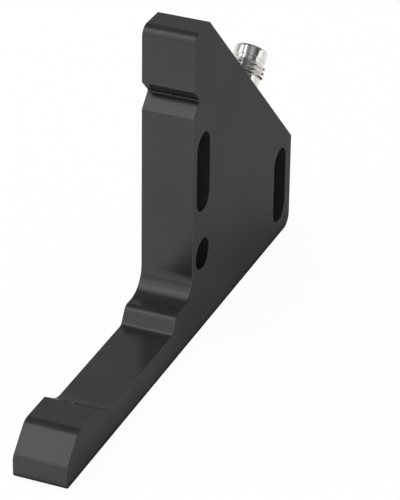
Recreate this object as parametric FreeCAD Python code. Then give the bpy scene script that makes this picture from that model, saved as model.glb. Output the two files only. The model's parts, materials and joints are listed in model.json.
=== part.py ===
import FreeCAD, Part
import math
import os
from FreeCAD import Vector

# Angle light barrier: a milled plate with two arms and a beam across the corner
# between them. Drawing coordinates, in millimetres: u runs from the tip of the
# lower arm to the back, v runs up from the bottom face, and x runs across the
# plate from its middle. The frame's origin is the middle of the round fixing hole.

# Plate outline
plate_thickness = 11.0
arm_reach = 58.2
arm_height = 6.2
block_length = 13.7
block_step = 3.4
block_ramp = 5.2
nose_chamfer = 5.3
ridge_length = 7.8
ridge_ramp = 2.0
notch_depth = 2.85
aperture_inset = 2.05
aperture_setback = 2.05
tip_height = 11.7
top_flat = 7.4
back_edge_height = 21.1

# Corner radii of the outline, and the broken edges of both faces
inner_corner_radius = 5.0
ridge_radius = 1.8
ridge_foot_radius = 1.2
block_foot_radius = 6.0
block_top_radius = 3.0
nose_radius = 2.0
toe_radius = 0.8
heel_radius = 2.8
back_corner_radius = 0.5
brow_radius = 2.2
notch_radius = 0.35
edge_break = 0.1

# Fixing holes: one round hole and two upright slots of the same width
fixing_width = 6.6
slot_length = 17.0
front_fixing_inset = 5.1
hole_height = 17.1
slot_pitch = 18.3
back_slot_inset = 6.1
back_slot_height = 12.1

# Cover let into the hidden face, on a flat seal
cover_thickness = 1.2
cover_gap = 0.1
cover_corner_radius = 0.8
seal_thickness = 0.4
seal_inset = 0.1
rim = 0.7
land = 0.8

# Cavity milled behind the cover
face_wall = 1.5
floor_wall = 2.1
fixing_wall = 2.4
notch_wall = 2.55
slope_wall = 4.2
channel_height = 2.0
cavity_radius = 1.5

# Optics, measured inwards from the aperture along the beam
aperture_diameter = 2.0
aperture_wall = 1.3
window_thickness = 0.7
holder_width = 3.4
holder_length = 4.2
stop_thickness = 0.6
stop_diameter = 1.8
lens_diameter = 2.8
lens_edge = 0.5
lens_crown = 0.6
diode_width = 1.8
diode_depth = 0.7
diode_dome_radius = 0.6
diode_dome_height = 0.5
tip_board_thickness = 0.8
optic_clearance = 0.1

# Plug connector, measured outwards from the slope along its axis
connector_setback = 23.3
neck_diameter = 7.0
neck_length = 3.35
thread_diameter = 8.0
thread_length = 3.05
thread_chamfer = 0.4
groove_diameter = 6.5
groove_length = 0.7
collar_diameter = 7.0
collar_length = 2.3
collar_taper = 0.3
socket_diameter = 5.6
socket_depth = 5.6
spigot_length = 2.4
stem_diameter = 6.0
stem_length = 2.0
stem_bore = 4.6
seal_height = 0.6
nut_diameter = 7.6
nut_thickness = 1.4
fit_clearance = 0.05

# Contacts, on both sides of the main board
pin_diameter = 1.0
pin_height = 4.4
pin_bevel = 0.3
pin_spread = 1.15
pin_offset = 1.05
pin_overlap = 1.2
key_width = 0.9
key_height = 3.0

# Main board and what it carries
board_thickness = 1.0
board_ledge = 1.0
board_clearance = 0.3
board_setback = 7.0
boss_radius = 1.8
boss_inset = 3.2
processor_width = 5.0
processor_height = 0.9
driver_length = 5.0
driver_width = 3.9
driver_height = 1.5
lead_count = 4
lead_pitch = 1.27
lead_width = 0.4
lead_reach = 1.0
lead_thickness = 0.25
capacitor_diameter = 4.0
capacitor_height = 2.8
can_bevel = 0.25
inductor_width = 3.6
inductor_height = 1.8
part_spacing = 1.6
ribbon_thickness = 0.2
ribbon_width = 2.8
ribbon_overlap = 5.0

# Indicator beside the connector
indicator_spacing = 12.0
pipe_diameter = 2.0
pipe_flange = 0.5
pipe_flange_length = 0.8
pipe_bevel = 0.2
led_thickness = 1.2
led_width = 1.6
led_height = 0.9

# Screws
screw_diameter = 1.6
screw_head = 3.0
screw_length = 3.6
screw_clearance = 0.1
thread_clearance = 0.02
screw_margin = 2.1
tip_screw_reach = 4.6
tip_screw_height = 3.8

# Below this, two points or planes count as one
tolerance = 1e-6

# Derived places of the outline
diagonal = math.sqrt(0.5)
block_height = arm_height + block_step
recess_start = block_length + block_ramp
ridge_start = arm_reach - ridge_length
receiver_place = (block_length + aperture_inset, block_height - aperture_inset * block_step / block_ramp)
beam_height = arm_reach - (receiver_place[0] - receiver_place[1])
emitter_place = (arm_reach + aperture_setback, beam_height + aperture_setback)
notch_top = beam_height + 2 * aperture_setback
notch_bottom = (arm_reach + notch_depth, notch_top - notch_depth)
notch_end = notch_top - 2 * notch_depth
plate_height = notch_top + tip_height
plate_length = arm_reach + top_flat + plate_height - back_edge_height
fixing_radius = fixing_width / 2
front_fixing = arm_reach + front_fixing_inset
front_slot_height = hole_height + slot_pitch
back_slot = plate_length - back_slot_inset

# Derived places across the plate
face_x = plate_thickness / 2
hidden_x = -plate_thickness / 2
seal_x = hidden_x + cover_thickness
rebate_x = seal_x + seal_thickness
floor_x = face_x - face_wall
board_x = board_thickness / 2

# Derived places along the optics, the connector and the cavity
window_end = aperture_wall + window_thickness
holder_end = window_end + holder_length
trough_end = holder_end + tip_board_thickness + 2 * optic_clearance
thread_start = neck_length
groove_start = thread_start + thread_length
collar_start = groove_start + groove_length
collar_end = collar_start + collar_length
carrier_face = collar_end - socket_depth
stem_end = -slope_wall - stem_length
cavity_front = front_fixing + fixing_radius + fixing_wall
cavity_tip = notch_bottom[0] + notch_wall
cover_back = back_slot - fixing_radius - fixing_wall + land
cavity_shoulder = front_slot_height + slot_length / 2 + fixing_wall
beam_out = (diagonal, diagonal)
beam_in = (-diagonal, -diagonal)


# Placing and outline helpers

def at(u, v, x=0.0):
    """A drawing point in the part's frame."""
    return Vector(x, u - front_fixing, v - hole_height)


def on_slope(distance, depth):
    """A drawing point up the slope from its lower end, and below its surface."""
    u = plate_length - (distance + depth) * diagonal
    v = back_edge_height + (distance - depth) * diagonal
    return (u, v)


def slope_height(u, depth):
    """The height at u of a line that lies under the slope."""
    return back_edge_height + plate_length - u - depth / diagonal


def corner_arc(before, corner, after, radius):
    """Where a rounded corner starts, its middle, and where it ends."""
    to_before = (before - corner).normalize()
    to_after = (after - corner).normalize()
    half = to_before.getAngle(to_after) / 2
    reach = radius / math.tan(half)
    middle_line = (to_before + to_after).normalize()
    centre = corner + middle_line * (radius / math.sin(half))
    return corner + to_before * reach, centre - middle_line * radius, corner + to_after * reach


def outline(corners, x):
    """A closed wire through (u, v) or (u, v, radius) corners."""
    points = [at(corner[0], corner[1], x) for corner in corners]
    radii = [corner[2] if len(corner) > 2 else 0.0 for corner in corners]
    count = len(points)
    stretches = []
    for i in range(count):
        if radii[i] > 0:
            stretches.append(corner_arc(points[i - 1], points[i], points[(i + 1) % count], radii[i]))
        else:
            stretches.append((points[i],))
    edges = []
    for i in range(count):
        stretch = stretches[i]
        if len(stretch) == 3:
            edges.append(Part.Arc(*stretch).toShape())
        start = stretch[-1]
        end = stretches[(i + 1) % count][0]
        if start.distanceToPoint(end) > tolerance:
            edges.append(Part.LineSegment(start, end).toShape())
    return Part.Wire(edges)


def plate(corners, x_low, x_high):
    """A flat piece with the given outline, between two planes across the plate."""
    return Part.Face(outline(corners, x_low)).extrude(Vector(x_high - x_low, 0, 0))


def grown(corners, by):
    """The same corners with every side moved outwards; corners run anticlockwise."""
    moved = []
    count = len(corners)
    for i in range(count):
        u0, v0 = corners[i - 1][:2]
        u1, v1 = corners[i][:2]
        u2, v2 = corners[(i + 1) % count][:2]
        first = Vector(v1 - v0, u0 - u1, 0).normalize()
        second = Vector(v2 - v1, u1 - u2, 0).normalize()
        step = (first + second) * (by / (1 + first.dot(second)))
        moved.append((u1 + step.x, v1 + step.y) + tuple(corners[i][2:]))
    return moved


def milled(corners, radius):
    """The same corners, rounded where a cutter turns inside them and sharp elsewhere."""
    shaped = []
    count = len(corners)
    for i in range(count):
        u0, v0 = corners[i - 1][:2]
        u1, v1 = corners[i][:2]
        u2, v2 = corners[(i + 1) % count][:2]
        turn = (u1 - u0) * (v2 - v1) - (v1 - v0) * (u2 - u1)
        shaped.append((u1, v1, radius) if turn > 0 else (u1, v1))
    return shaped


def seated(shape, place, direction):
    """Turns a piece so that its own Z runs along direction, and puts it at place."""
    z_axis = Vector(0, direction[0], direction[1])
    x_axis = Vector(1, 0, 0)
    turn = FreeCAD.Rotation(x_axis, z_axis.cross(x_axis), z_axis, "ZXY")
    shape.Placement = FreeCAD.Placement(at(place[0], place[1]), turn).multiply(shape.Placement)
    return shape


def rod(radius, low, high):
    """A cylinder along its own Z."""
    return Part.makeCylinder(radius, high - low, Vector(0, 0, low))


def bar(width_x, width_y, low, high):
    """A centred rectangular bar along its own Z."""
    return Part.makeBox(width_x, width_y, high - low, Vector(-width_x / 2, -width_y / 2, low))


def turned(profile):
    """A piece turned about its own Z from (radius, height) points."""
    points = [Vector(radius, 0, height) for radius, height in profile]
    return Part.Face(Part.makePolygon(points + points[:1])).revolve(Vector(), Vector(0, 0, 1), 360)


def block(u, v, x_low, x_high, width, height):
    """A rectangular block centred on a drawing point."""
    return plate([(u - width / 2, v - height / 2), (u + width / 2, v - height / 2),
                  (u + width / 2, v + height / 2), (u - width / 2, v + height / 2)], x_low, x_high)


# Outlines

def plate_outline():
    """The plate's own outline, from the toe along the bottom and round."""
    return [
        (0, 0, toe_radius),
        (plate_length, 0, heel_radius),
        (plate_length, back_edge_height, back_corner_radius),
        (arm_reach + top_flat, plate_height),
        (arm_reach, plate_height, brow_radius),
        (arm_reach, notch_top),
        (notch_bottom[0], notch_bottom[1], notch_radius),
        (arm_reach, notch_end),
        (arm_reach, block_height, inner_corner_radius),
        (ridge_start, block_height, ridge_radius),
        (ridge_start - ridge_ramp, arm_height, ridge_foot_radius),
        (recess_start, arm_height, block_foot_radius),
        (block_length, block_height),
        (nose_chamfer, block_height, block_top_radius),
        (0, block_height - nose_chamfer, nose_radius),
    ]


def cavity_back():
    """Where the cavity ends towards the back slot: just past the connector's nut."""
    return on_slope(connector_setback - nut_diameter / 2 - land, slope_wall)[0]


def cavity_outline():
    """The pocket that holds the main board, up into the upright's tip."""
    back = cavity_back()
    return [
        (cavity_front, floor_wall),
        (back, floor_wall),
        (back, slope_height(back, slope_wall)),
        (cavity_tip, slope_height(cavity_tip, slope_wall)),
        (cavity_tip, cavity_shoulder),
        (cavity_front, cavity_shoulder),
    ]


def board_outline():
    """The main board: the cavity less a clearance, and short of the connector."""
    front = cavity_front + board_clearance
    back = cavity_back() - board_clearance
    bottom = floor_wall + board_clearance
    return [
        (front, bottom, cavity_radius),
        (back, bottom, cavity_radius),
        (back, slope_height(back, board_setback)),
        (front, slope_height(front, board_setback)),
    ]


def cover_outline():
    """The cover: the plate's outline less a rim, and clear of the fixing holes."""
    inner = grown(plate_outline(), -rim)
    toe, brow, notch_corner = inner[0], inner[4], inner[5]
    nose = inner[11:]
    back = cover_back
    step = back_slot_height + slot_length / 2 + fixing_wall - land
    tip = cavity_tip - land
    ridge = inner[9]
    foot = inner[10]
    wall_depth = slope_wall - land
    slant = notch_corner[0] + notch_corner[1]
    return [
        toe[:2],
        (back, rim),
        (back, step),
        (plate_length + back_edge_height - wall_depth / diagonal - step, step),
        (slope_top(wall_depth), brow[1]),
        brow[:2],
        notch_corner[:2],
        (tip, slant - tip),
        (tip, cavity_shoulder - land),
        (cavity_front - land, cavity_shoulder - land),
        (cavity_front - land, ridge[1]),
        ridge[:2],
        foot[:2],
    ] + [corner[:2] for corner in nose]


def slope_top(depth):
    """Where a line under the slope meets the cover's top edge."""
    return plate_length + back_edge_height - depth / diagonal - (plate_height - rim)


# Screw places

def cover_screw_places():
    """Where the cover is screwed down, in solid metal beside the cavity."""
    back = (cavity_back() + cover_back) / 2
    return [
        (tip_screw_reach, tip_screw_height),
        (arm_reach - ridge_length / 2, block_height - rim - screw_margin),
        (back, back_slot_height),
        (arm_reach + rim + screw_margin, plate_height - rim - 2 * screw_margin),
    ]


def board_screw_places():
    """Where the main board is screwed to its bosses."""
    height = floor_wall + board_clearance + boss_inset
    return [
        (cavity_front + board_clearance + boss_inset, height),
        (cavity_back() - board_clearance - boss_inset, height),
    ]


# Cutters shared by the housing and the cover's seal

def slot_cutter(u, v, length):
    """An upright through slot, or a round hole where its length is its width."""
    low = v - length / 2 + fixing_radius
    high = v + length / 2 - fixing_radius
    end = Part.makeCylinder(fixing_radius, plate_thickness, at(u, low, hidden_x), Vector(1, 0, 0))
    if high - low < tolerance:
        return end
    straight = block(u, v, hidden_x, face_x, fixing_width, high - low)
    other = Part.makeCylinder(fixing_radius, plate_thickness, at(u, high, hidden_x), Vector(1, 0, 0))
    return end.fuse([straight, other]).removeSplitter()


def fixing_cutters():
    """The round hole and the two slots."""
    return [
        slot_cutter(front_fixing, hole_height, fixing_width),
        slot_cutter(front_fixing, front_slot_height, slot_length),
        slot_cutter(back_slot, back_slot_height, slot_length),
    ]


def trough_cutter(place, direction):
    """The milled trough that holds one tip's window, holder and board."""
    width = holder_width + 2 * optic_clearance
    depth = width / 2 - hidden_x
    trough = bar(depth, width, aperture_wall, trough_end)
    trough.translate(Vector(width / 2 - depth / 2, 0, 0))
    return seated(trough, place, direction)


def cavity_cutters():
    """The main cavity, the channel along the lower arm and the two troughs."""
    shallow = plate(milled(cavity_outline(), cavity_radius), hidden_x, board_x)
    channel = plate([
        (receiver_place[0] - trough_end * diagonal, floor_wall),
        (cavity_front + cavity_radius, floor_wall),
        (cavity_front + cavity_radius, floor_wall + channel_height),
        (receiver_place[0] - trough_end * diagonal, floor_wall + channel_height),
    ], hidden_x, board_x)
    return [
        shallow,
        channel,
        trough_cutter(emitter_place, beam_out),
        trough_cutter(receiver_place, beam_in),
    ]


def deep_cutter():
    """The deeper pocket under the main board, with the board's ledge and bosses left."""
    front = cavity_front + board_ledge
    back = cavity_back() - board_ledge
    low = floor_wall + board_ledge
    pocket = plate(milled([
        (front, low),
        (back, low),
        (back, slope_height(back, slope_wall)),
        (front, slope_height(front, slope_wall)),
    ], cavity_radius), board_x, floor_x)
    nut_room = seated(bar(2 * floor_x, nut_diameter + 2 * land, stem_end - land, -slope_wall),
                      on_slope(connector_setback, 0), beam_out)
    half = plate(milled(cavity_outline(), cavity_radius), board_x, floor_x)
    bosses = [Part.makeCylinder(boss_radius, floor_x, at(u, v), Vector(1, 0, 0))
              for u, v in board_screw_places()]
    return pocket.fuse(nut_room.common(half)).cut(bosses)


# Housing, cover and seal

def edges_of_faces(solid):
    """The edges that lie in the plate's two large faces."""
    found = []
    for edge in solid.Edges:
        box = edge.BoundBox
        if box.XLength < tolerance and abs(abs(box.XMin) - face_x) < tolerance:
            found.append(edge)
    return found


def connector_cutter():
    """The counterbore, stem bore and indicator bore through the slope's wall."""
    counterbore = rod(neck_diameter / 2 + fit_clearance, -spigot_length - seal_height, land)
    stem_hole = rod(stem_diameter / 2 + fit_clearance, -slope_wall - land, 0)
    tool = seated(counterbore.fuse(stem_hole), on_slope(connector_setback, 0), beam_out)
    pipe_hole = seated(rod(pipe_diameter / 2 + fit_clearance, -slope_wall - land, land),
                       on_slope(connector_setback + indicator_spacing, 0), beam_out)
    return tool.fuse(pipe_hole)


def housing():
    """The milled plate."""
    solid = plate(plate_outline(), hidden_x, face_x).cut(fixing_cutters())
    solid = solid.makeChamfer(edge_break, edges_of_faces(solid))
    rebate = plate(milled(grown(cover_outline(), cover_gap), cover_corner_radius), hidden_x, rebate_x)
    solid = solid.cut([rebate] + cavity_cutters()).cut([deep_cutter(), connector_cutter()])
    apertures = [seated(rod(aperture_diameter / 2 + fit_clearance, -land, window_end), place, direction)
                 for place, direction in ((emitter_place, beam_out), (receiver_place, beam_in))]
    taps = [Part.makeCylinder(screw_diameter / 2 + thread_clearance, screw_length, at(u, v, hidden_x),
                              Vector(1, 0, 0)) for u, v in cover_screw_places()]
    board_taps = [Part.makeCylinder(screw_diameter / 2 + thread_clearance, screw_length - board_thickness,
                                    at(u, v, board_x), Vector(1, 0, 0))
                  for u, v in board_screw_places()]
    return solid.cut(apertures + taps + board_taps)


def side_cover():
    """The flush cover, with countersunk holes."""
    solid = plate(milled(cover_outline(), cover_corner_radius), hidden_x, seal_x)
    holes = []
    for u, v in cover_screw_places():
        wide = screw_head / 2 + screw_clearance
        narrow = screw_diameter / 2 + screw_clearance
        cone = Part.makeCone(wide, narrow, wide - narrow, at(u, v, hidden_x), Vector(1, 0, 0))
        holes.append(cone)
        holes.append(Part.makeCylinder(narrow, cover_thickness, at(u, v, hidden_x), Vector(1, 0, 0)))
    return solid.cut(holes)


def cover_seal():
    """The flat seal on the land between the cover and the cavity."""
    solid = plate(milled(grown(cover_outline(), -seal_inset), cover_corner_radius), seal_x, rebate_x)
    holes = [Part.makeCylinder(screw_diameter / 2 + screw_clearance, seal_thickness, at(u, v, seal_x),
                               Vector(1, 0, 0)) for u, v in cover_screw_places()]
    return solid.cut(cavity_cutters() + holes)


# Connector

def connector_shell():
    """The turned shell: socket, collar, groove, thread band, neck, spigot and stem."""
    collar = collar_diameter / 2
    groove = groove_diameter / 2
    thread = thread_diameter / 2
    neck = neck_diameter / 2
    stem = stem_diameter / 2
    socket = socket_diameter / 2
    bore = stem_bore / 2
    profile = [
        (socket, collar_end),
        (collar - collar_taper, collar_end),
        (collar, collar_end - 2 * collar_taper),
        (collar, collar_start),
        (groove, collar_start),
        (groove, groove_start),
        (thread - thread_chamfer, groove_start),
        (thread, groove_start - thread_chamfer),
        (thread, thread_start + thread_chamfer),
        (thread - thread_chamfer, thread_start),
        (neck, thread_start),
        (neck, -spigot_length),
        (stem, -spigot_length),
        (stem, stem_end),
        (bore, stem_end),
        (bore, carrier_face - land),
        (socket, carrier_face - land),
    ]
    return seated(turned(profile), on_slope(connector_setback, 0), beam_out)


def pin_places():
    """Where the contacts stand, across the plate and along the slope."""
    return [(-pin_offset, -pin_spread), (-pin_offset, pin_spread), (pin_offset, 0.0)]


def contact_carrier():
    """The moulded insert that holds the contacts, with its key."""
    wide = socket_diameter / 2 - fit_clearance
    narrow = stem_bore / 2 - fit_clearance
    head = rod(wide, carrier_face - land + fit_clearance, carrier_face)
    body = rod(narrow, stem_end, carrier_face).fuse(head)
    key = bar(wide, key_width, carrier_face, carrier_face + key_height)
    key.translate(Vector(wide, 0, 0))
    key = key.common(rod(wide, carrier_face, carrier_face + key_height))
    key = key.cut(rod(wide - key_width / 2, carrier_face, carrier_face + key_height))
    holes = [Part.makeCylinder(pin_diameter / 2 + thread_clearance, carrier_face - stem_end,
                               Vector(x, y, stem_end)) for x, y in pin_places()]
    return seated(body.fuse(key).cut(holes), on_slope(connector_setback, 0), beam_out)


def contact_pin(x, y):
    """One contact: a pin with a bevelled tip, which ends beside the board."""
    radius = pin_diameter / 2
    low = -board_setback - pin_overlap
    tip = carrier_face + pin_height
    pin = turned([
        (0, low),
        (radius, low),
        (radius, tip - pin_bevel),
        (radius - pin_bevel, tip),
        (0, tip),
    ])
    pin.translate(Vector(x, y, 0))
    return seated(pin, on_slope(connector_setback, 0), beam_out)


def connector_seal():
    """The flat sealing ring in the counterbore, under the shell's spigot."""
    low = -spigot_length - seal_height
    ring = rod(neck_diameter / 2, low, -spigot_length).cut(rod(stem_diameter / 2 + thread_clearance, low, 0))
    return seated(ring, on_slope(connector_setback, 0), beam_out)


def connector_nut():
    """The ring nut that draws the connector into the slope's wall."""
    low = -slope_wall - nut_thickness
    hole = rod(stem_diameter / 2 + fit_clearance, low, -slope_wall)
    ring = rod(nut_diameter / 2, low, -slope_wall).cut(hole)
    return seated(ring, on_slope(connector_setback, 0), beam_out)


# Boards and what they carry

def main_board():
    """The circuit board on its ledge."""
    board = plate(board_outline(), -board_x, board_x)
    holes = [Part.makeCylinder(screw_diameter / 2 + screw_clearance, board_thickness, at(u, v, -board_x),
                               Vector(1, 0, 0)) for u, v in board_screw_places()]
    return board.cut(holes)


def chip_column():
    """The line on the board along which its parts stand, clear of the screws."""
    return cavity_front + board_clearance + 2 * boss_inset + processor_width / 2


def chip_rows():
    """The heights of the parts on the board, from the bottom up."""
    first = floor_wall + board_clearance + part_spacing + processor_width / 2
    second = first + processor_width / 2 + part_spacing + driver_width / 2 + lead_reach
    third = second + driver_width / 2 + lead_reach + part_spacing + capacitor_diameter / 2
    return first, second, third


def processor_chip():
    """The flat chip that runs the beam."""
    u = chip_column()
    v = chip_rows()[0]
    return block(u, v, -board_x - processor_height, -board_x, processor_width, processor_width)


def driver_chip():
    """The output chip, with its two rows of leads."""
    u = chip_column()
    v = chip_rows()[1]
    lift = lead_thickness
    body = block(u, v, -board_x - driver_height, -board_x - lift, driver_length, driver_width)
    leads = []
    for number in range(lead_count):
        offset = (number - (lead_count - 1) / 2) * lead_pitch
        leads.append(block(u + offset, v, -board_x - lift - fit_clearance, -board_x,
                           lead_width, driver_width + 2 * lead_reach))
    return body.fuse(leads).removeSplitter()


def capacitor():
    """The round can capacitor."""
    u = chip_column()
    v = chip_rows()[2]
    radius = capacitor_diameter / 2
    shoulder = -board_x - capacitor_height + can_bevel
    can = Part.makeCylinder(radius, capacitor_height - can_bevel, at(u, v, -board_x), Vector(-1, 0, 0))
    bevel = Part.makeCone(radius, radius - can_bevel, can_bevel, at(u, v, shoulder), Vector(-1, 0, 0))
    return can.fuse(bevel)


def inductor():
    """The square coil on the board's other side."""
    return block(chip_column(), chip_rows()[1], board_x, board_x + inductor_height,
                 inductor_width, inductor_width)


def indicator_led():
    """The indicator's light source, on the board's edge."""
    led = bar(led_thickness, led_width, -board_setback, -board_setback + led_height)
    return seated(led, on_slope(connector_setback + indicator_spacing, 0), beam_out)


def light_pipe():
    """The clear rod that brings the indicator's light to the slope."""
    radius = pipe_diameter / 2
    low = -board_setback + led_height + fit_clearance
    pipe = turned([
        (0, low),
        (radius, low),
        (radius, -slope_wall - pipe_flange_length),
        (radius + pipe_flange, -slope_wall - pipe_flange_length),
        (radius + pipe_flange, -slope_wall),
        (radius, -slope_wall),
        (radius, 0),
        (radius - pipe_bevel, pipe_bevel),
        (0, pipe_bevel),
    ])
    return seated(pipe, on_slope(connector_setback + indicator_spacing, 0), beam_out)


# Optics of one tip

def window():
    """The window plate with the round stub that fills the aperture."""
    plate_part = bar(holder_width, holder_width, aperture_wall, window_end)
    stub = rod(aperture_diameter / 2, fit_clearance, aperture_wall)
    return plate_part.fuse(stub).removeSplitter()


def holder():
    """The moulded holder: a stop in front, and a bore for the lens and the diode."""
    body = bar(holder_width, holder_width, window_end, holder_end)
    stop = rod(stop_diameter / 2, window_end, holder_end)
    bore = rod(lens_diameter / 2 + fit_clearance, window_end + stop_thickness, holder_end)
    return body.cut([stop, bore])


def lens():
    """The lens: flat towards the window, domed towards the diode."""
    radius = lens_diameter / 2
    low = window_end + stop_thickness
    high = low + lens_edge
    sphere_radius = (radius * radius + lens_crown * lens_crown) / (2 * lens_crown)
    dome = Part.makeSphere(sphere_radius, Vector(0, 0, high + lens_crown - sphere_radius))
    dome = dome.common(rod(radius, high, high + lens_crown))
    return rod(radius, low, high).fuse(dome).removeSplitter()


def diode():
    """The light source or light sensor, with its small dome."""
    front = holder_end - diode_depth
    base = bar(diode_width, diode_width, front, holder_end)
    dome = Part.makeCone(diode_dome_radius / 2, diode_dome_radius, diode_dome_height,
                         Vector(0, 0, front - diode_dome_height))
    return base.fuse(dome).removeSplitter()


def tip_board():
    """The small board behind the holder."""
    return bar(holder_width, holder_width, holder_end, holder_end + tip_board_thickness)


def strip(points, x_low, x_high, thickness):
    """A thin ribbon on edge, along two or more drawing points."""
    ribbon = []
    for start, end in zip(points, points[1:]):
        run = Vector(end[0] - start[0], end[1] - start[1], 0)
        side = Vector(-run.y, run.x, 0).normalize() * (thickness / 2)
        ribbon.append(plate([
            (start[0] - side.x, start[1] - side.y),
            (end[0] - side.x, end[1] - side.y),
            (end[0] + side.x, end[1] + side.y),
            (start[0] + side.x, start[1] + side.y),
        ], x_low, x_high))
    if len(ribbon) == 1:
        return ribbon[0]
    return ribbon[0].fuse(ribbon[1:]).removeSplitter()


def board_side(place, direction):
    """The middle of a tip board's edge that faces down the slope or along the arm."""
    middle = holder_end + tip_board_thickness / 2
    side = holder_width / 2 + optic_clearance
    u = place[0] + direction[0] * middle + side * diagonal
    v = place[1] + direction[1] * middle - side * diagonal
    return u, v


def emitter_ribbon():
    """The ribbon from the emitter's board down to the main board's sloping edge."""
    start = board_side(emitter_place, beam_out)
    half = ribbon_thickness / 2 + fit_clearance
    edge_u = cavity_front + board_clearance + ribbon_overlap
    edge_v = slope_height(edge_u, board_setback - half)
    near_u = cavity_front + board_clearance
    near_v = slope_height(near_u, board_setback - half)
    return strip([start, (near_u, near_v), (edge_u, edge_v)], board_x - fit_clearance - ribbon_width,
                 board_x - fit_clearance, ribbon_thickness)


def receiver_ribbon():
    """The ribbon from the receiver's board along the lower arm to the main board."""
    start = board_side(receiver_place, beam_in)
    middle = floor_wall + ribbon_thickness / 2
    end = cavity_front + board_clearance + ribbon_overlap
    return strip([(start[0] + ribbon_thickness, middle), (end, middle)],
                 board_x - fit_clearance - ribbon_width, board_x - fit_clearance, ribbon_thickness)


# Output

def tip_parts(name, place, direction):
    """The five optical pieces of one tip."""
    makers = {"window": window, "holder": holder, "lens": lens, "diode": diode, "board": tip_board}
    return {name + "_" + key: seated(maker(), place, direction) for key, maker in makers.items()}


def all_parts():
    """Every piece by its node name."""
    parts = {
        "housing": housing(),
        "side_cover": side_cover(),
        "cover_seal": cover_seal(),
        "connector_shell": connector_shell(),
        "contact_carrier": contact_carrier(),
        "connector_seal": connector_seal(),
        "connector_nut": connector_nut(),
        "main_board": main_board(),
        "processor_chip": processor_chip(),
        "driver_chip": driver_chip(),
        "capacitor": capacitor(),
        "inductor": inductor(),
        "indicator_led": indicator_led(),
        "light_pipe": light_pipe(),
        "emitter_ribbon": emitter_ribbon(),
        "receiver_ribbon": receiver_ribbon(),
    }
    for number, (x, y) in enumerate(pin_places(), start=1):
        parts["contact_pin_%d" % number] = contact_pin(x, y)
    parts.update(tip_parts("emitter", emitter_place, beam_out))
    parts.update(tip_parts("receiver", receiver_place, beam_in))
    return parts


def main():
    os.makedirs("parts", exist_ok=True)
    for name, shape in all_parts().items():
        shape.exportStep(os.path.join("parts", name + ".step"))


main()
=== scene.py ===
import bpy
import bmesh
import json
import math
from mathutils import Matrix, Vector


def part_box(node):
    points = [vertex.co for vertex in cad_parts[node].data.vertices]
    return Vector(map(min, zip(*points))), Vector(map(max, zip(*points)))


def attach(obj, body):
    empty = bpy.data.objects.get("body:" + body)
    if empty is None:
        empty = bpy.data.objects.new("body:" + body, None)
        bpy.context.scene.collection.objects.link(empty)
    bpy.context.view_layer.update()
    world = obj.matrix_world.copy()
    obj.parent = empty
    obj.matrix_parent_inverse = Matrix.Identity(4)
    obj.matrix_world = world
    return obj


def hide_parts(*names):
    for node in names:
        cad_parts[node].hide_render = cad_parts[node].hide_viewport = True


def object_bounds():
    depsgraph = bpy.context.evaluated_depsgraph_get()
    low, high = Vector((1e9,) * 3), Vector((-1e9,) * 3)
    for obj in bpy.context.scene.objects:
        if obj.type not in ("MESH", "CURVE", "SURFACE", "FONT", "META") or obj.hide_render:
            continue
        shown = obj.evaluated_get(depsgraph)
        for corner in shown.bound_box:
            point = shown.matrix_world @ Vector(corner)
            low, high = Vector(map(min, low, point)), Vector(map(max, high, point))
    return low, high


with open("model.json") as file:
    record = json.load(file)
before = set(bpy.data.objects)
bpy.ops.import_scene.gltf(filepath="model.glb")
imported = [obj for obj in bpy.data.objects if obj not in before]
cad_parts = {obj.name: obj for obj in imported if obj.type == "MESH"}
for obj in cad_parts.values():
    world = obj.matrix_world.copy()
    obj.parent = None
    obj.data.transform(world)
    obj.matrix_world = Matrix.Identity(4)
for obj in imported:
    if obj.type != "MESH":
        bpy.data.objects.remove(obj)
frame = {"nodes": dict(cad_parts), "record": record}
cad_low, cad_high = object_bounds()
nodes = frame["nodes"]

# The scene is in metres. The plug and the screws are sized in millimetres.
MM = 0.001

# The plug stands square on the plate's back slope, which lies at 45 degrees
DIAGONAL = math.sqrt(0.5)
SLOPE_AXIS = Vector((0.0, DIAGONAL, DIAGONAL))
ACROSS = Vector((1.0, 0.0, 0.0))
BACKWARD = Vector((0.0, 1.0, 0.0))


# Mesh helpers

def mesh_object(name, bm, smooth_degrees):
    """A scene object from a bmesh, with edges sharper than an angle kept sharp."""
    bmesh.ops.recalc_face_normals(bm, faces=bm.faces)
    mesh = bpy.data.meshes.new(name)
    for face in bm.faces:
        face.smooth = True
    for edge in bm.edges:
        if len(edge.link_faces) == 2:
            edge.smooth = edge.calc_face_angle(0.0) < math.radians(smooth_degrees)
    bm.to_mesh(mesh)
    bm.free()
    obj = bpy.data.objects.new(name, mesh)
    bpy.context.scene.collection.objects.link(obj)
    return obj


def axes_matrix(x_axis, y_axis, z_axis, origin):
    """The matrix that lays an object's own axes along the given ones."""
    return Matrix((
        (x_axis.x, y_axis.x, z_axis.x, origin.x),
        (x_axis.y, y_axis.y, z_axis.y, origin.y),
        (x_axis.z, y_axis.z, z_axis.z, origin.z),
        (0.0, 0.0, 0.0, 1.0),
    ))


def place_along(obj, origin, axis, side):
    """Puts a mesh that was made along its own Z onto an axis, with its own X along side."""
    obj.data.transform(axes_matrix(side, axis.cross(side), axis, origin))
    obj.data.update()


def circle_point(radius, angle, height):
    """A point at an angle round the mesh's own Z; lengths in millimetres."""
    return (radius * MM * math.cos(angle), radius * MM * math.sin(angle), height * MM)


def plain(radius, height):
    """A row of a turned skin: a ring of one radius at one height."""
    return lambda angle: circle_point(radius, angle, height)


# Shader helpers

# A colour mix node has sockets for every kind of data; these are the ones for colours
MIX_FACTOR, MIX_FIRST, MIX_SECOND, MIX_RESULT = 0, 6, 7, 2


def opaque(colour):
    return (*colour, 1.0)


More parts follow.
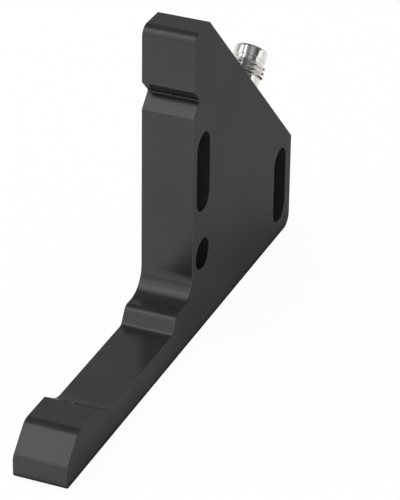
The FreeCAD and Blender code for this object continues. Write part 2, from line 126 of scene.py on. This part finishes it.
def fill_ramp(ramp, stops, low, high):
    """Gives a colour ramp grey stops, listed as (place between low and high, level)."""
    elements = ramp.color_ramp.elements
    for element, (place, level) in zip(elements, (stops[0], stops[-1])):
        element.position = (place - low) / (high - low)
        element.color = opaque((level,) * 3)
    for place, level in stops[1:-1]:
        element = elements.new((place - low) / (high - low))
        element.color = opaque((level,) * 3)


class NodeTree:
    """The node tree of a material or world, with short calls to add and join nodes."""

    def __init__(self, owner, output_kind, coordinates):
        owner.use_nodes = True
        self.tree = owner.node_tree
        self.tree.nodes.clear()
        self.output = self.tree.nodes.new(output_kind)
        self.coords = self.tree.nodes.new("ShaderNodeTexCoord").outputs[coordinates]

    def put(self, node, key, value):
        """Links a socket to an input, or writes a plain value to it."""
        if isinstance(value, bpy.types.NodeSocket):
            self.tree.links.new(value, node.inputs[key])
        else:
            node.inputs[key].default_value = value

    def add(self, kind, **sockets):
        node = self.tree.nodes.new(kind)
        for key, value in sockets.items():
            self.put(node, key.replace("_", " "), value)
        return node

    def calc(self, operation, first, second=0.0, clamp=False):
        node = self.tree.nodes.new("ShaderNodeMath")
        node.operation = operation
        node.use_clamp = clamp
        self.put(node, 0, first)
        self.put(node, 1, second)
        return node.outputs[0]

    def spread(self, value, low, high, out_low, out_high):
        node = self.add("ShaderNodeMapRange", Value=value, From_Min=low, From_Max=high,
                        To_Min=out_low, To_Max=out_high)
        return node.outputs["Result"]

    def noise(self, scale, detail, stretch=None):
        place = self.coords
        if stretch is not None:
            place = self.add("ShaderNodeMapping", Vector=self.coords, Scale=stretch).outputs["Vector"]
        return self.add("ShaderNodeTexNoise", Vector=place, Scale=scale, Detail=detail).outputs["Fac"]

    def ramp(self, factor, stops, low, high, interpolation="LINEAR"):
        node = self.add("ShaderNodeValToRGB", Fac=factor)
        node.color_ramp.interpolation = interpolation
        fill_ramp(node, stops, low, high)
        return node.outputs["Color"]

    def mix_colours(self, factor, first, second, blend="MIX"):
        node = self.tree.nodes.new("ShaderNodeMix")
        node.data_type = "RGBA"
        node.blend_type = blend
        self.put(node, MIX_FACTOR, factor)
        self.put(node, MIX_FIRST, first)
        self.put(node, MIX_SECOND, second)
        return node.outputs[MIX_RESULT]

    def mix_shaders(self, factor, first, second):
        node = self.tree.nodes.new("ShaderNodeMixShader")
        self.put(node, 0, factor)
        self.put(node, 1, first.outputs[0])
        self.put(node, 2, second.outputs[0])
        return node

    def show(self, shader):
        self.tree.links.new(shader.outputs[0], self.output.inputs["Surface"])


# Finishes

COARSE_DETAIL, FINE_DETAIL = 4.0, 3.0
BLOTCH_SCALE, BLOTCH_SHARE, GRAIN_SHARE = 90.0, 0.6, 0.4
COLOUR_RANGE, ROUGHNESS_RANGE = (0.35, 0.65), (0.3, 0.7)
GRAIN_HEIGHT = 0.00002
WEAR_SCALE, WEAR_SHARPNESS, WEAR_SAMPLES = 700.0, 6.0, 4
WEAR_RANGE, WEAR_LEVELS = (0.4, 0.62), (0.15, 1.0)
# Painted shade in tight inner corners: the occlusion levels mapped from darkest to open, and the samples
PAINTED_SHADE_RANGE, PAINTED_SHADE_SAMPLES = (0.45, 0.85), 8


def worn_edges(s, width):
    """About 1 on sharp edges, broken up by noise, and 0 on flat places."""
    bevel = s.add("ShaderNodeBevel", Radius=width)
    bevel.samples = WEAR_SAMPLES
    dot = s.tree.nodes.new("ShaderNodeVectorMath")
    dot.operation = "DOT_PRODUCT"
    s.put(dot, 0, bevel.outputs["Normal"])
    s.put(dot, 1, s.add("ShaderNodeNewGeometry").outputs["Normal"])
    away = s.calc("SUBTRACT", 1.0, dot.outputs["Value"])
    edge = s.calc("MULTIPLY", away, WEAR_SHARPNESS, clamp=True)
    patches = s.spread(s.noise(WEAR_SCALE, COARSE_DETAIL), *WEAR_RANGE, *WEAR_LEVELS)
    return s.calc("MULTIPLY", edge, patches)


def painted_shade_factor(s, distance, darkest):
    """Painted shade: a factor of 1 in the open, and down to the darkest factor in tight inner corners,
    where shade falls.
    """
    occlusion = s.add("ShaderNodeAmbientOcclusion", Distance=distance)
    occlusion.samples = PAINTED_SHADE_SAMPLES
    return s.spread(occlusion.outputs["AO"], *PAINTED_SHADE_RANGE, darkest, 1.0)


def make_finish(name, low, high, rough, wear, metallic=0.0, grain=2500.0, bump=0.15,
                edge_width=0.00025, stretch=None, painted_shade_in_corners=None, **constants):
    """A material between two colours, with blotches, fine grain, bump and worn edges, and painted shade
    in inner corners when asked.
    """
    material = bpy.data.materials.new(name)
    s = NodeTree(material, "ShaderNodeOutputMaterial", "Object")
    blotch = s.noise(BLOTCH_SCALE, COARSE_DETAIL)
    fine = s.noise(grain, FINE_DETAIL, stretch)
    both = s.calc("ADD", s.calc("MULTIPLY", blotch, BLOTCH_SHARE), s.calc("MULTIPLY", fine, GRAIN_SHARE))
    colour = s.mix_colours(s.spread(both, *COLOUR_RANGE, 0.0, 1.0), opaque(low), opaque(high))
    colour = s.mix_colours(worn_edges(s, edge_width), colour, opaque(wear))
    # Painted shade: the colour is darkened in tight inner corners, where shade falls
    if painted_shade_in_corners is not None:
        colour = s.mix_colours(1.0, colour, painted_shade_factor(s, *painted_shade_in_corners), "MULTIPLY")
    relief = s.add("ShaderNodeBump", Height=fine, Strength=bump, Distance=GRAIN_HEIGHT)
    s.show(s.add("ShaderNodeBsdfPrincipled", Base_Color=colour, Metallic=metallic,
                 Roughness=s.spread(both, *ROUGHNESS_RANGE, *rough),
                 Normal=relief.outputs["Normal"], **constants))
    return material


GREY_TINT = (0.50, 0.50, 0.50, 1.0)
finishes = {
    # The plate's colour has painted shade in its tight inner corners, such as the notch's bottom
    "housing_anodised": make_finish(
        "black_anodised_plate", (0.068, 0.068, 0.069), (0.080, 0.080, 0.081), (0.18, 0.24),
        wear=(0.10, 0.10, 0.10), metallic=0.68, grain=2600.0, bump=0.08, painted_shade_in_corners=(0.0024, 0.22),
        Specular_IOR_Level=0.0, Specular_Tint=GREY_TINT),
    "cover_anodised": make_finish(
        "black_anodised_cover", (0.056, 0.056, 0.057), (0.068, 0.068, 0.069), (0.30, 0.38),
        wear=(0.10, 0.10, 0.10), metallic=0.65, grain=1800.0, bump=0.12, stretch=(1.0, 0.08, 1.0),
        Specular_IOR_Level=0.0, Specular_Tint=GREY_TINT),
    "seal_rubber": make_finish(
        "black_rubber_seal", (0.016, 0.016, 0.016), (0.026, 0.026, 0.026), (0.6, 0.75),
        wear=(0.04, 0.04, 0.04)),
    "screw_steel": make_finish(
        "stainless_screw", (0.38, 0.38, 0.39), (0.50, 0.50, 0.51), (0.24, 0.36),
        wear=(0.68, 0.68, 0.68), metallic=1.0, grain=6000.0),
    # The nickel's colour has painted shade in the thread roots and other tight corners
    "connector_nickel": make_finish(
        "bright_nickel", (0.78, 0.77, 0.75), (0.86, 0.85, 0.83), (0.06, 0.10),
        wear=(0.78, 0.77, 0.75), metallic=1.0, grain=5000.0, bump=0.05, edge_width=0.00012,
        stretch=(0.2, 1.0, 1.0), painted_shade_in_corners=(0.0004, 0.40)),
    "carrier_plastic": make_finish(
        "black_moulded_carrier", (0.020, 0.020, 0.021), (0.030, 0.030, 0.031), (0.42, 0.55),
        wear=(0.05, 0.05, 0.05)),
    "contact_gold": make_finish(
        "gold_contact", (0.70, 0.50, 0.18), (0.80, 0.60, 0.25), (0.16, 0.26),
        wear=(0.86, 0.70, 0.36), metallic=1.0, grain=5000.0),
    "circuit_board": make_finish(
        "green_circuit_board", (0.014, 0.11, 0.045), (0.026, 0.17, 0.075), (0.22, 0.36),
        wear=(0.30, 0.32, 0.16), grain=3200.0, Coat_Weight=0.3, Coat_Roughness=0.1),
    "component_plastic": make_finish(
        "black_component", (0.024, 0.024, 0.024), (0.038, 0.038, 0.038), (0.45, 0.6),
        wear=(0.08, 0.08, 0.08)),
    "capacitor_can": make_finish(
        "drawn_can", (0.55, 0.55, 0.56), (0.66, 0.66, 0.67), (0.22, 0.34),
        wear=(0.8, 0.8, 0.8), metallic=1.0),
    "led_resin": make_finish(
        "cast_resin", (0.70, 0.69, 0.65), (0.80, 0.79, 0.75), (0.12, 0.22),
        wear=(0.9, 0.9, 0.86)),
    "pipe_clear": make_finish(
        "clear_light_pipe", (0.84, 0.88, 0.86), (0.92, 0.95, 0.93), (0.08, 0.16),
        wear=(0.97, 0.98, 0.97), Transmission_Weight=0.75, IOR=1.49),
    "window_dark": make_finish(
        "dark_filter_window", (0.012, 0.008, 0.009), (0.020, 0.012, 0.013), (0.06, 0.12),
        wear=(0.03, 0.02, 0.02), Coat_Weight=0.4, Coat_Roughness=0.05),
    "holder_plastic": make_finish(
        "black_moulded_holder", (0.016, 0.016, 0.016), (0.026, 0.026, 0.026), (0.5, 0.65),
        wear=(0.05, 0.05, 0.05)),
    "lens_clear": make_finish(
        "clear_lens", (0.88, 0.90, 0.90), (0.94, 0.96, 0.96), (0.03, 0.08),
        wear=(0.98, 0.98, 0.98), Transmission_Weight=0.85, IOR=1.5),
    "ribbon_film": make_finish(
        "amber_ribbon_film", (0.36, 0.15, 0.03), (0.50, 0.24, 0.06), (0.28, 0.4),
        wear=(0.6, 0.36, 0.12)),
}

for entry in frame["record"]["subparts"]:
    piece = nodes[entry["node"]]
    piece.data.materials.clear()
    piece.data.materials.append(finishes[entry["material_slot"]])


# The plug: a turned shell with the real turns of its thread.
# Heights run along its axis from the slope outwards, in millimetres.

STEM_R, STEM_END, SPIGOT, BORE_R = 3.0, -6.2, 2.4, 2.3
NECK_R, NECK_END = 3.5, 3.35
THREAD_R, THREAD_END, THREAD_DEPTH, PITCH = 4.0, 6.4, 0.6134, 1.0
GROOVE_R, GROOVE_END = 3.25, 7.1
COLLAR_R, COLLAR_END, COLLAR_TAPER = 3.5, 9.4, 0.3
SOCKET_R, SOCKET_FLOOR = 2.8, 3.0
STEM_BEVEL, NECK_BEVEL, GROOVE_BEVEL, COLLAR_BEVEL, SOCKET_BEVEL = 0.15, 0.12, 0.05, 0.12, 0.15
SOLID_THREAD_BEVEL = 0.4
SHELL_SEGMENTS, COLLAR_STEPS = 128, 6
SHELL_SMOOTH_DEGREES = 40
WELD = 1e-7

# One turn of the rolled thread: how far along the pitch, and how high above the root.
# Its flanks are rounded, and at their steepest they stand at about 60 degrees.
THREAD_ROOT = THREAD_R - THREAD_DEPTH
THREAD_RUNOUT = 0.3
TOOTH_STEPS = 20
TOOTH = [(i / TOOTH_STEPS, (1 - math.cos(2 * math.pi * i / TOOTH_STEPS)) / 2) for i in range(TOOTH_STEPS)]


def helical(along, rise):
    """A row that climbs one pitch a turn and fades out at both ends of the thread."""
    def point(angle):
        height = NECK_END + (along + angle / (2 * math.pi)) * PITCH
        height = min(max(height, NECK_END), THREAD_END)
        fade = min((height - NECK_END) / THREAD_RUNOUT, (THREAD_END - height) / THREAD_RUNOUT, 1.0)
        return circle_point(THREAD_ROOT + THREAD_DEPTH * rise * fade, angle, height)
    return point


def stem_rows():
    return [plain(BORE_R, STEM_END), plain(STEM_R - STEM_BEVEL, STEM_END),
            plain(STEM_R, STEM_END + STEM_BEVEL), plain(STEM_R, -SPIGOT), plain(NECK_R, -SPIGOT),
            plain(NECK_R, NECK_END - NECK_BEVEL), plain(THREAD_ROOT, NECK_END)]


def thread_rows():
    turns = math.ceil((THREAD_END - NECK_END) / PITCH)
    rows = [helical(turn + along, rise) for turn in range(-1, turns + 1) for along, rise in TOOTH]
    return rows + [plain(THREAD_ROOT, THREAD_END)]


def collar_rows():
    """The groove above the thread, and the collar with its rounded rim."""
    rows = [plain(GROOVE_R, THREAD_END + GROOVE_BEVEL), plain(GROOVE_R, GROOVE_END - GROOVE_BEVEL),
            plain(GROOVE_R + GROOVE_BEVEL, GROOVE_END), plain(COLLAR_R - COLLAR_BEVEL, GROOVE_END),
            plain(COLLAR_R, GROOVE_END + COLLAR_BEVEL), plain(COLLAR_R, COLLAR_END - 2 * COLLAR_TAPER)]
    for i in range(1, COLLAR_STEPS + 1):
        angle = math.pi / 2 * i / COLLAR_STEPS
        rows.append(plain(COLLAR_R - COLLAR_TAPER * (1 - math.cos(angle)),
                          COLLAR_END - 2 * COLLAR_TAPER * (1 - math.sin(angle))))
    return rows


def socket_rows():
    return [plain(SOCKET_R + SOCKET_BEVEL, COLLAR_END), plain(SOCKET_R, COLLAR_END - SOCKET_BEVEL),
            plain(SOCKET_R, SOCKET_FLOOR), plain(BORE_R, SOCKET_FLOOR), plain(BORE_R, STEM_END)]


def plug_shell():
    """The shell's skin, from the stem's bore round the outside and back down the socket."""
    rows = stem_rows() + thread_rows() + collar_rows() + socket_rows()
    angles = [2 * math.pi * i / SHELL_SEGMENTS for i in range(SHELL_SEGMENTS + 1)]
    bm = bmesh.new()
    grid = [[bm.verts.new(row(angle)) for angle in angles] for row in rows]
    for low, high in zip(grid, grid[1:]):
        for i in range(SHELL_SEGMENTS):
            bm.faces.new((low[i], low[i + 1], high[i + 1], high[i]))
    bmesh.ops.remove_doubles(bm, verts=bm.verts, dist=WELD)
    bmesh.ops.dissolve_degenerate(bm, edges=bm.edges, dist=WELD)
    return mesh_object("plug_shell", bm, SHELL_SMOOTH_DEGREES)


# The plug's foot on the slope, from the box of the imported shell. A point's reach backward and
# up grows with its radius and height together; these are the solid's outermost edges.
shell_low, shell_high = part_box("connector_shell")
reach = DIAGONAL * MM * max(
    COLLAR_R - COLLAR_TAPER + COLLAR_END,
    COLLAR_R + COLLAR_END - 2 * COLLAR_TAPER,
    THREAD_R + THREAD_END - SOLID_THREAD_BEVEL)
foot = Vector(((shell_low.x + shell_high.x) / 2, shell_high.y - reach, shell_high.z - reach))

shell = plug_shell()
place_along(shell, foot, SLOPE_AXIS, ACROSS)
shell.data.materials.append(finishes["connector_nickel"])
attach(shell, "root")
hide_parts("connector_shell")


# Screws: countersunk ones flush with the cover, pan heads on the main board.
# A profile lists (radius, height) from the head's face inwards, in millimetres.

SCREW_SEGMENTS, SCREW_SMOOTH_DEGREES = 48, 28
RECESS_HALF_WIDTH, RECESS_DEPTH = 0.17, 0.5
RECESS_FLOOR_LENGTH, RECESS_FLOOR_WIDTH = 0.55, 0.6
HIDDEN_FACE, BOARD_FACE, PAN_HEIGHT = -5.5, -0.5, 0.9
COVER_SCREW = [(1.5, 0.0), (0.8, 0.7), (0.8, 3.45), (0.7, 3.55)]
BOARD_SCREW = [(1.3, 0.0), (1.5, 0.2), (1.5, PAN_HEIGHT), (0.8, PAN_HEIGHT), (0.8, PAN_HEIGHT + 3.4),
               (0.7, PAN_HEIGHT + 3.5)]
COVER_RECESS_ARM, BOARD_RECESS_ARM = 0.85, 0.8
# Places in the plate's plane, as (backward, up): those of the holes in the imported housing
COVER_SCREW_PLACES = [(34.11, -5.0), (-9.0, -10.3), (-2.3, 44.51), (-58.7, -13.3)]
BOARD_SCREW_PLACES = [(28.02, -11.5), (9.2, -11.5)]


def cross_outline(arm, half):
    """The twelve corners of a cross recess."""
    return [(half, half), (half, arm), (-half, arm), (-half, half), (-arm, half), (-arm, -half),
            (-half, -half), (-half, -arm), (half, -arm), (half, -half), (arm, -half), (arm, half)]


def screw_mesh(name, profile, arm):
    """A screw about its own Z: the head's face at 0, the shank towards +Z, a cross recess."""
    bm = bmesh.new()
    angles = [2 * math.pi * i / SCREW_SEGMENTS for i in range(SCREW_SEGMENTS)]
    rings = [[bm.verts.new(circle_point(radius, angle, height)) for angle in angles]
             for radius, height in profile]
    for low, high in zip(rings, rings[1:]):
        for i in range(SCREW_SEGMENTS):
            j = (i + 1) % SCREW_SEGMENTS
            bm.faces.new((low[i], low[j], high[j], high[i]))
    bm.faces.new(rings[-1])

    mouth_outline = cross_outline(arm, RECESS_HALF_WIDTH)
    floor_outline = cross_outline(arm * RECESS_FLOOR_LENGTH, RECESS_HALF_WIDTH * RECESS_FLOOR_WIDTH)
    mouth = [bm.verts.new((x * MM, y * MM, 0.0)) for x, y in mouth_outline]
    floor = [bm.verts.new((x * MM, y * MM, RECESS_DEPTH * MM)) for x, y in floor_outline]
    corners = len(mouth)
    loop = [bm.edges.new((mouth[i], mouth[(i + 1) % corners])) for i in range(corners)]
    rim = rings[0]
    loop += [bm.edges.get((rim[i], rim[(i + 1) % SCREW_SEGMENTS])) for i in range(SCREW_SEGMENTS)]
    bmesh.ops.triangle_fill(bm, edges=loop, use_beauty=True)
    for i in range(corners):
        j = (i + 1) % corners
        bm.faces.new((mouth[i], mouth[j], floor[j], floor[i]))
    bm.faces.new(floor)
    return mesh_object(name, bm, SCREW_SMOOTH_DEGREES)


def add_screws(kind, places, head_face, profile, arm):
    """Numbered screws that point into the plate, with their heads' faces at one depth."""
    for number, (y, z) in enumerate(places, start=1):
        obj = screw_mesh("%s_%d" % (kind, number), profile, arm)
        place_along(obj, Vector((head_face * MM, y * MM, z * MM)), ACROSS, BACKWARD)
        obj.data.materials.append(finishes["screw_steel"])
        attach(obj, "root")


add_screws("cover_screw", COVER_SCREW_PLACES, HIDDEN_FACE, COVER_SCREW, COVER_RECESS_ARM)
add_screws("board_screw", BOARD_SCREW_PLACES, BOARD_FACE - PAN_HEIGHT, BOARD_SCREW, BOARD_RECESS_ARM)


# The world: soft light that changes with the direction it comes from

# Levels over the turn about the left-right axis: 0 degrees is level in front, 90 is overhead
# and 180 level behind. The dark stretch gives the plate's rounded edges their dark lines.
TURN_LEVELS = [
    (0, 0.54), (9, 0.36), (16, 0.24), (23, 0.42), (30, 0.60), (40, 0.58), (50, 0.78), (60, 0.88),
    (70, 0.74), (80, 0.38), (90, 0.05), (136, 0.04), (145, 0.27), (160, 0.34), (172, 0.32), (180, 0.34),
]
TURN_STRENGTH = 3.0
# Upright cards in front, from left (-1) to right (1), which give the bright metal its bands
CARD_LEVELS = [
    (-1.0, 0.30), (-0.93, 0.30), (-0.88, 1.0), (-0.65, 1.0), (-0.59, 0.22), (-0.45, 0.22),
    (-0.41, 1.0), (-0.27, 1.0), (-0.23, 0.20), (-0.08, 0.18), (-0.02, 0.10), (0.19, 0.10),
    (0.26, 0.22), (0.58, 0.21), (0.65, 0.09), (0.93, 0.09), (0.965, 0.9), (1.0, 1.0),
]
# A faint glow to both sides of the dark overhead strip, so that only the plate mirrors the strip
GLOW_LEVELS = [
    (-1.0, 0.40), (-0.75, 0.40), (-0.60, 0.15), (-0.52, 0.0), (-0.15, 0.0), (-0.05, 0.16),
    (0.60, 0.20), (0.75, 0.07), (0.90, 0.07), (0.94, 1.0), (1.0, 1.0),
]
GLOW_STRENGTH = 1.5
# The cards fade in above this height of the direction, and end a little behind the object
CARDS_BOTTOM, CARDS_BOTTOM_FADE = 0.12, 5.0
CARDS_BACK, CARDS_BACK_FADE = 0.10, 8.0
# Metal mirrors the white backdrop below this height of the direction
BACKDROP_TOP, BACKDROP_FADE = 0.2, 10.0
WHITE = (1.0, 1.0, 1.0, 1.0)


def seen_plainly(s, path):
    """1 for what the camera sees by itself or through glass."""
    return s.calc("MAXIMUM", path.outputs["Is Camera Ray"], path.outputs["Is Transmission Ray"])


def build_world():
    world = bpy.data.worlds.new("studio")
    bpy.context.scene.world = world
    s = NodeTree(world, "ShaderNodeOutputWorld", "Generated")
    direction = s.add("ShaderNodeSeparateXYZ", Vector=s.coords)
    right, height = direction.outputs["X"], direction.outputs["Z"]
    front = s.calc("MULTIPLY", direction.outputs["Y"], -1.0)

    turn = s.calc("DIVIDE", s.calc("ARCTAN2", height, front), math.pi, clamp=True)
    bright = s.calc("MULTIPLY", s.ramp(turn, TURN_LEVELS, 0, 180, "EASE"), TURN_STRENGTH)
    across = s.calc("MULTIPLY", s.calc("ADD", right, 1.0), 0.5)
    cards = s.ramp(across, CARD_LEVELS, -1, 1)
    above = s.calc("MULTIPLY", s.calc("SUBTRACT", height, CARDS_BOTTOM), CARDS_BOTTOM_FADE, clamp=True)
    ahead = s.calc("MULTIPLY", s.calc("ADD", front, CARDS_BACK), CARDS_BACK_FADE, clamp=True)
    hidden = s.calc("MULTIPLY", s.calc("MULTIPLY", above, ahead), s.calc("SUBTRACT", 1.0, cards))
    shaded = s.calc("MULTIPLY", bright, s.calc("SUBTRACT", 1.0, hidden))
    glow = s.calc("MULTIPLY", s.ramp(across, GLOW_LEVELS, -1, 1), GLOW_STRENGTH)
    lit = s.add("ShaderNodeBackground", Strength=s.calc("MAXIMUM", shaded, glow))

    white = s.add("ShaderNodeBackground", Color=WHITE, Strength=1.0)
    path = s.add("ShaderNodeLightPath")
    low = s.calc("MULTIPLY", s.calc("SUBTRACT", BACKDROP_TOP, height), BACKDROP_FADE, clamp=True)
    mirrored = s.calc("MULTIPLY", path.outputs["Is Glossy Ray"], low)
    s.show(s.mix_shaders(s.calc("MAXIMUM", seen_plainly(s, path), mirrored), lit, white))


# The floor: a matt white ground that keeps the object's shadow

FLOOR_HALF_SIZE, FLOOR_CELLS, FLOOR_GAP = 3.0, 24, 0.00005
FLOOR_SMOOTH_DEGREES = 32
FLOOR_COLOUR = (0.95, 0.95, 0.95, 1.0)
# Its own light as a share of what is seen: nearly all, so that it is as white as the backdrop
FLOOR_LIGHT_SEEN, FLOOR_LIGHT_MIRRORED = 0.96, 0.3


def build_floor():
    bm = bmesh.new()
    bmesh.ops.create_grid(bm, x_segments=FLOOR_CELLS, y_segments=FLOOR_CELLS, size=FLOOR_HALF_SIZE)
    floor = mesh_object("studio_floor", bm, FLOOR_SMOOTH_DEGREES)
    floor.location.z = cad_low.z - FLOOR_GAP

    material = bpy.data.materials.new("studio_floor")
    s = NodeTree(material, "ShaderNodeOutputMaterial", "Object")
    path = s.add("ShaderNodeLightPath")
    seen = s.calc("MULTIPLY", seen_plainly(s, path), FLOOR_LIGHT_SEEN)
    mirrored = s.calc("MULTIPLY", path.outputs["Is Glossy Ray"], FLOOR_LIGHT_MIRRORED)
    matt = s.add("ShaderNodeBsdfDiffuse", Color=FLOOR_COLOUR)
    light = s.add("ShaderNodeEmission", Color=WHITE, Strength=1.0)
    top = s.mix_shaders(s.calc("MAXIMUM", seen, mirrored), matt, light)
    # From below, the part is seen through the floor
    backfacing = s.add("ShaderNodeNewGeometry").outputs["Backfacing"]
    s.show(s.mix_shaders(backfacing, top, s.add("ShaderNodeBsdfTransparent")))
    floor.data.materials.append(material)


# The lamp and the camera

LAMP_PLACE, LAMP_AIM = Vector((-0.26, -0.05, 0.95)), Vector((0.0, 0.0, 0.0))
LAMP_SIZE, LAMP_POWER = 0.9, 6.4

# The camera fitted to points measured in the photo, with its lens then set by the outline
CAMERA_RIGHT = Vector((0.92061406, 0.39029321, 0.01187312))
CAMERA_UP = Vector((-0.20164586, 0.44915887, 0.87039948))
CAMERA_BACK = Vector((0.33437809, -0.80369616, 0.49220298))
CAMERA_PLACE = Vector((0.198635, -0.465585, 0.285841))
CAMERA_LENS, CAMERA_SENSOR = 211.2, 36.0
CAMERA_NEAR, CAMERA_FAR = 0.05, 20.0


def build_lamp():
    data = bpy.data.lights.new("overhead", "AREA")
    data.shape = "DISK"
    data.size = LAMP_SIZE
    data.energy = LAMP_POWER
    lamp = bpy.data.objects.new("overhead", data)
    bpy.context.scene.collection.objects.link(lamp)
    lamp.location = LAMP_PLACE
    lamp.rotation_mode = "QUATERNION"
    lamp.rotation_quaternion = (LAMP_AIM - LAMP_PLACE).to_track_quat("-Z", "Y")
    lamp.visible_glossy = False


def build_camera():
    data = bpy.data.cameras.new("photo_view")
    data.sensor_fit = "AUTO"
    data.sensor_width = CAMERA_SENSOR
    data.lens = CAMERA_LENS
    data.clip_start = CAMERA_NEAR
    data.clip_end = CAMERA_FAR
    camera = bpy.data.objects.new("photo_view", data)
    bpy.context.scene.collection.objects.link(camera)
    camera.matrix_world = axes_matrix(CAMERA_RIGHT, CAMERA_UP, CAMERA_BACK, CAMERA_PLACE)
    bpy.context.scene.camera = camera


build_world()
build_floor()
build_lamp()
build_camera()
bpy.context.scene.view_settings.view_transform = "Standard"
